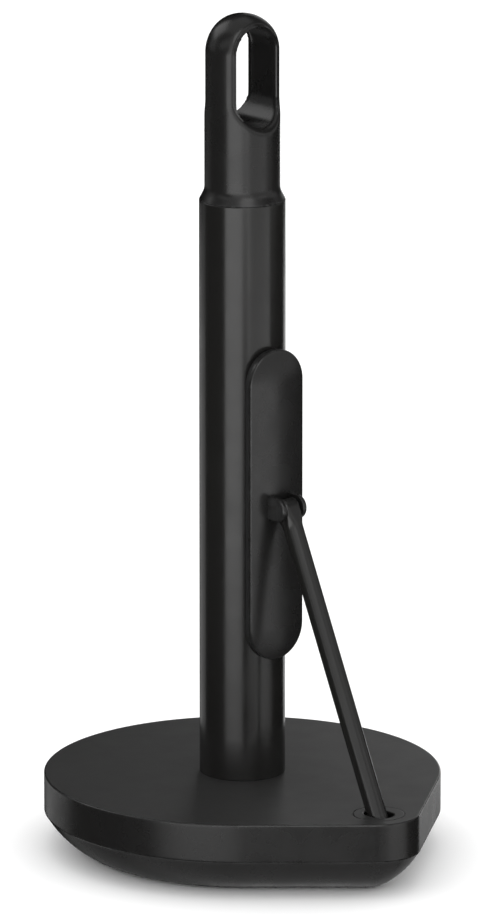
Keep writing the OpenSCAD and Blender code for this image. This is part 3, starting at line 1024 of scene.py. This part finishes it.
@dataclass
class Arm(Maker):
    """The sprung arm: a round rod whose top end is squared off into an eye for the pad's pin."""

    radius: float = 4.5
    hub_reach: float = 7.5
    hub_guard: float = 1.0
    eye_blend: float = 9.0
    eye_square: float = 5.0
    eye_round: float = 1.3
    blend_end: float = 2.0
    least_half: float = 0.1
    count: int = 64
    cap_steps: int = 12
    cap_end: float = 86.0
    cap_crowd: float = 1.4
    bore_steps: int = 32
    pin_gap: float = 0.05

    def build(self) -> None:
        """Builds the rod and eye, and finishes the hub below it."""
        pivot, pin = middle_of("pivot_pin"), middle_of("pad_pin")
        pivot.y = pin.y = 0.0
        along = (pin - pivot).normalized()
        across = Vector((along.z, 0, -along.x))
        length = (pin - pivot).length

        def section(height: float) -> Ring:
            """The rod's section, round below and squared off at the eye.

            Args:
                height: How far along the rod from the pivot.

            Returns:
                The section's ring.
            """
            above = height - length
            share = min(1.0, max(0.0, (above + self.eye_blend) / (self.eye_blend - self.blend_end)))
            share = share * share * (3 - 2 * share)
            power = 2 / (2 + (self.eye_square - 2) * share)
            lift = max(0.0, above)
            half_x = math.sqrt(max(self.radius ** 2 - lift ** 2, self.least_half ** 2))
            near_top = max(0.0, above - (self.radius - self.eye_round))
            corner = math.sqrt(max(self.eye_round ** 2 - near_top ** 2, 0.0))
            half_y = self.radius - self.eye_round + corner
            ring = []
            for k in range(self.count):
                a = 2 * math.pi * (k + 0.5) / self.count
                c, s = math.cos(a), math.sin(a)
                x = half_x * math.copysign(abs(c) ** power, c)
                y = half_y * math.copysign(abs(s) ** power, s)
                ring.append((pivot + along * height + across * x + Vector((0, y, 0))) * MM)
            return ring

        heights = [self.hub_reach, self.hub_reach + self.hub_guard, length / 2]
        blend_start = length - self.eye_blend - self.blend_end
        heights += [blend_start + k for k in range(int(self.eye_blend + self.blend_end) + 1)]
        shares = [1 - k / self.cap_steps for k in range(1, self.cap_steps + 1)]
        cap = [self.cap_end * (1 - share ** self.cap_crowd) for share in shares]
        heights += [length + self.radius * math.sin(math.radians(turn)) for turn in cap]
        piece = ring_wall("arm_rod_piece", [section(h) for h in heights])
        bore = reach_of("pad_pin")
        pin_r = (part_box("pad_pin")[1].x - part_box("pad_pin")[0].x) / 2 / MM
        hole = rings_of([(pin_r + self.pin_gap, -bore), (pin_r + self.pin_gap, bore)],
                        lambda reach: circle(reach, self.bore_steps), facing_y(pin))
        combine(piece, ring_wall("bore_cutter", hole), "DIFFERENCE")
        self.workshop.hand_over(piece, "arm", FinishName.COATED, "arm_rod")
        self.workshop.dress_nodes(FinishName.COATED, "arm_hub")


@dataclass
class Pad(Maker):
    """The pressing pad: a crowned shell with two lugs, a soft liner behind it and its pin."""

    side_t: float = 2.2
    crown_t: float = 1.95
    rim_round: float = 0.9
    crown_steps: int = 12
    crown_share: float = 0.93
    crown_first: float = 0.97
    crown_spine: float = 0.25
    shell_core: float = 5.0
    shell_lip: float = 0.45
    shell_chamfer: float = 0.3
    shell_guard: float = 0.5
    lug_radius: float = 5.45
    lug_t: float = 2.3
    lug_gap: float = 0.3
    lug_round: float = 0.95
    lug_inner_round: float = 0.3
    lug_core: float = 2.5
    lug_guard: float = 0.25
    lug_steps: int = 24
    root_steps: int = 4
    liner_edge: float = 0.2
    liner_round: float = 0.6
    liner_back_round: float = 0.2
    liner_core: float = 6.0
    sink: float = 1.0

    def outline(self, inset: float) -> list[Point]:
        """The pad's stadium plan, drawn inwards.

        Args:
            inset: How far inwards.

        Returns:
            Its points across and up, from the pad's middle.
        """
        low, high = levels_of("pad_shell")
        half_w = reach_of("pad_shell")
        return stadium(half_w - inset, (high - low) / 2 - half_w)

    def shell(self) -> bpy.types.Object:
        """Builds the crowned shell without its lugs.

        Returns:
            The shell.
        """
        low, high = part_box("pad_shell")
        back = low.x / MM
        middle = (low.z + high.z) / 2 / MM
        half_w = reach_of("pad_shell")
        rim = back + self.side_t
        crown = (half_w ** 2 + self.crown_t ** 2) / (2 * self.crown_t)
        slope = math.asin(half_w / crown)
        first = slope * self.crown_share
        side = back + self.shell_chamfer
        profile = [(self.shell_core, back), (self.shell_lip, back), (0.0, side)]
        side_corner = rounded([
            (0.0, side, 0), (0.0, rim, self.rim_round),
            (half_w - crown * math.sin(first), rim + self.crown_t - crown * (1 - math.cos(first)), 0),
        ], guard=self.shell_guard)
        profile += side_corner[1:-1]
        for k in range(self.crown_steps):
            a = first * self.crown_first * (1 - k / self.crown_steps)
            profile.append((half_w - crown * math.sin(a), rim + self.crown_t - crown * (1 - math.cos(a))))
        profile.append((half_w - self.crown_spine, rim + self.crown_t))
        return ring_wall("pad_body", rings_of(profile, self.outline, facing_x(middle)))

    def lug(self, side: int) -> bpy.types.Object:
        """Builds one lug with its round end about the pin.

        Args:
            side: 1 for +Y, -1 for -Y.

        Returns:
            The lug.
        """
        pin = middle_of("pad_pin")
        inner = side * (reach_of("arm_rod") + self.lug_gap)
        outer = inner + side * self.lug_t
        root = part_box("pad_shell")[0].x / MM + self.side_t + self.sink - pin.x

        def outline(inset: float) -> list[Point]:
            """The lug seen from its side, drawn inwards, from the pin's middle.

            Args:
                inset: How far inwards.

            Returns:
                Its points: the round end, then the two edges of its root.
            """
            reach = self.lug_radius - inset
            bend = [math.radians(-90 + 180 * k / self.lug_steps) for k in range(self.lug_steps + 1)]
            run = [root * k / self.root_steps for k in range(1, self.root_steps + 1)]
            return ([(reach * math.cos(a), reach * math.sin(a)) for a in bend]
                    + [(x, reach) for x in run] + [(x, -reach) for x in reversed(run)])

        profile = rounded([
            (self.lug_core, inner, 0), (0, inner, self.lug_inner_round), (0, outer, self.lug_round),
            (self.lug_core, outer, 0),
        ], guard=self.lug_guard)
        return ring_wall("lug", rings_of(profile, outline, facing_y(pin)))

    def liner(self) -> None:
        """Builds the soft liner with rolled edges."""
        low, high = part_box("pad_liner")
        face, back = low.x / MM, high.x / MM
        middle = (low.z + high.z) / 2 / MM
        edge = self.liner_edge
        profile = rounded([
            (self.liner_core, back, 0), (edge, back, self.liner_back_round), (edge, face, self.liner_round),
            (self.liner_core, face, 0),
        ])
        piece = ring_wall("pad_liner_piece", rings_of(profile, self.outline, facing_x(middle)))
        self.workshop.hand_over(piece, "pad", FinishName.LINER, "pad_liner")

    def build(self) -> None:
        """Builds the shell with its lugs, the liner, and finishes the pin."""
        piece = self.shell()
        for side in (-1, 1):
            combine(piece, self.lug(side), "UNION")
        self.workshop.hand_over(piece, "pad", FinishName.SHELL, "pad_shell")
        self.liner()
        self.workshop.dress_nodes(FinishName.ZINC, "pad_pin")


def finish_pivot(workshop: Workshop) -> None:
    """Finishes the bracket, pin, clips and spring inside the base.

    Args:
        workshop: Finishes the nodes.
    """
    workshop.dress_nodes(FinishName.ZINC, "pivot_bracket", "bracket_screws", "pivot_pin", "pivot_clips")
    workshop.dress_nodes(FinishName.SPRING, "pivot_spring")


# ---- Studio ----


@dataclass(frozen=True)
class Card:
    """A glowing card that shows only in the gloss, placed as seen from the object.

    Angles are degrees. The turn is from the camera's side, positive to the right, and low and high are the
    heights of its two edges. A card of a full turn is a square overhead or underneath.
    """

    use: str
    turn: float
    span: float
    low: float
    high: float
    glow: float


@dataclass
class Studio:
    """A plain pale floor, soft light all round, and cards that draw the highlights.

    Lengths are metres, but for the lens and the sensor.
    """

    turn: float = 49.49
    rise: float = 14.18
    distance: float = 4.2439
    slide: float = 0.00208
    lift: float = 0.14018
    lens_mm: float = 365.6287
    sensor_mm: float = 36.0
    clip_near: float = 0.1
    clip_far: float = 60.0
    floor_radius: float = 25.0
    sky_strength: float = 1.4
    aim: float = 0.15
    away: float = 1.5
    cards: tuple[Card, ...] = (
        Card("key", -23, 46, -19, 6, 2.3),
        Card("front_fill", 46, 64, -18, -8, 1.5),
        Card("front_fill_low", 62, 50, -33, -18, 0.6),
        Card("right_fill", 60, 80, -8, 6, 0.5),
        Card("handle_front", 10, 20, -8, 6, 2.0),
        Card("left_rim", -137, 40, -22, -8, 0.5),
        Card("right_rim", 154, 20, -19, -8, 1.2),
        Card("right_rim_low", 160, 25, -33, -18, 0.4),
        Card("right_rim_high", 170, 20, -8, 6, 1.6),
        Card("deck_sheen", 160, 36, 6, 30, 0.55),
        Card("front_upper", 0, 60, 6, 30, 0.9),
        Card("right_upper", 75, 90, 6, 30, 0.4),
        Card("left_upper", -105, 30, 6, 30, 0.3),
        Card("left_top", -122, 44, 28, 58, 1.3),
        Card("front_top", 0, 150, 30, 60, 0.5),
        Card("front_top_key", 15, 40, 30, 60, 1.6),
        Card("overhead", 0, FULL_TURN, 60, 120, 0.4),
        Card("below_right", 150, 60, -60, -33, 0.3),
        Card("below_left", -150, 60, -60, -33, 0.15),
        Card("underneath", 0, FULL_TURN, -120, -60, 0.27),
    )

    def axes(self) -> tuple[Vector, Vector, Vector]:
        """The camera's own directions.

        Returns:
            Right, up and back, each one metre long.
        """
        a, e = math.radians(self.turn), math.radians(self.rise)
        back = Vector((math.sin(a) * math.cos(e), -math.cos(a) * math.cos(e), math.sin(e)))
        right = Vector((math.cos(a), math.sin(a), 0))
        return right, back.cross(right), back

    def camera(self) -> None:
        """Sets up the long-lens camera, aimed past the middle of the deck."""
        right, up, back = self.axes()
        data = bpy.data.cameras.new("camera")
        data.sensor_width = self.sensor_mm
        data.lens = self.lens_mm
        data.clip_start, data.clip_end = self.clip_near, self.clip_far
        camera = bpy.data.objects.new("camera", data)
        bpy.context.scene.collection.objects.link(camera)
        deck = Vector((0, 0, levels_of("base_cover")[1] * MM))
        camera.matrix_world = Matrix.Translation(
            deck + self.distance * back + self.slide * right + self.lift * up
        ) @ Matrix((right, up, back)).transposed().to_4x4()
        bpy.context.scene.camera = camera

    def floor(self) -> None:
        """Lays a pale floor that takes soft shadows and doesn't show in the gloss."""
        put_down()
        bpy.ops.mesh.primitive_circle_add(vertices=ROUND_STEPS, radius=self.floor_radius, fill_type="NGON")
        floor = bpy.context.active_object
        floor.name = "floor"
        paper = Finish("matt_paper_sweep", "", "#f9f9f9", "#fbfbfb", 0.9, patch_mm=400.0, grain_depth_mm=0.0)
        floor.data.materials.append(paper.build())
        floor.visible_glossy = False
        floor.visible_shadow = False

    def sky(self) -> None:
        """Fills the room with even light that stays out of the gloss."""
        world = bpy.data.worlds.new("studio")
        world.use_nodes = True
        shade = world.node_tree.nodes["Background"]
        shade.inputs["Color"].default_value = (1.0, 1.0, 1.0, 1.0)
        shade.inputs["Strength"].default_value = self.sky_strength
        bpy.context.scene.world = world
        world.cycles_visibility.glossy = False

    def hang(self, card: Card) -> None:
        """Hangs one card, facing the object.

        Args:
            card: The card.
        """
        back = self.axes()[2]
        ahead = math.atan2(back.y, back.x) + math.radians(card.turn)
        rise = math.radians((card.low + card.high) / 2)
        out = Vector((math.cos(rise) * math.cos(ahead), math.cos(rise) * math.sin(ahead), math.sin(rise)))
        height = width = 2 * self.away * math.tan(math.radians(card.high - card.low) / 2)
        if card.span < FULL_TURN:
            width = 2 * self.away * math.cos(rise) * math.tan(math.radians(card.span) / 2)
        data = bpy.data.lights.new(card.use, "AREA")
        data.shape = "RECTANGLE"
        data.size, data.size_y = width, height
        data.energy = card.glow * math.pi * width * height
        light = bpy.data.objects.new(card.use, data)
        bpy.context.scene.collection.objects.link(light)
        light.location = Vector((0, 0, self.aim)) + self.away * out
        light.rotation_euler = (-out).to_track_quat("-Z", "Y").to_euler()
        light.visible_camera = False
        light.visible_diffuse = False

    def build(self) -> None:
        """Sets up the camera, floor and lights."""
        self.camera()
        self.floor()
        self.sky()
        for card in self.cards:
            self.hang(card)
        bpy.context.scene.view_settings.view_transform = "Standard"
        log.info("studio: camera, floor and %d cards", len(self.cards))


def main() -> None:
    """Builds the pieces in order, then the studio."""
    logging.basicConfig(level=logging.INFO, format="%(name)s %(message)s")
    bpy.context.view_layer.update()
    workshop = Workshop(Finishes())
    for maker in (Base, Grommet, Post, FingerLoop, Arm, Pad):
        maker(workshop).build()
    finish_pivot(workshop)
    Studio().build()
    log.info("%d new pieces", len(workshop.done))


if __name__ == "__main__":
    main()
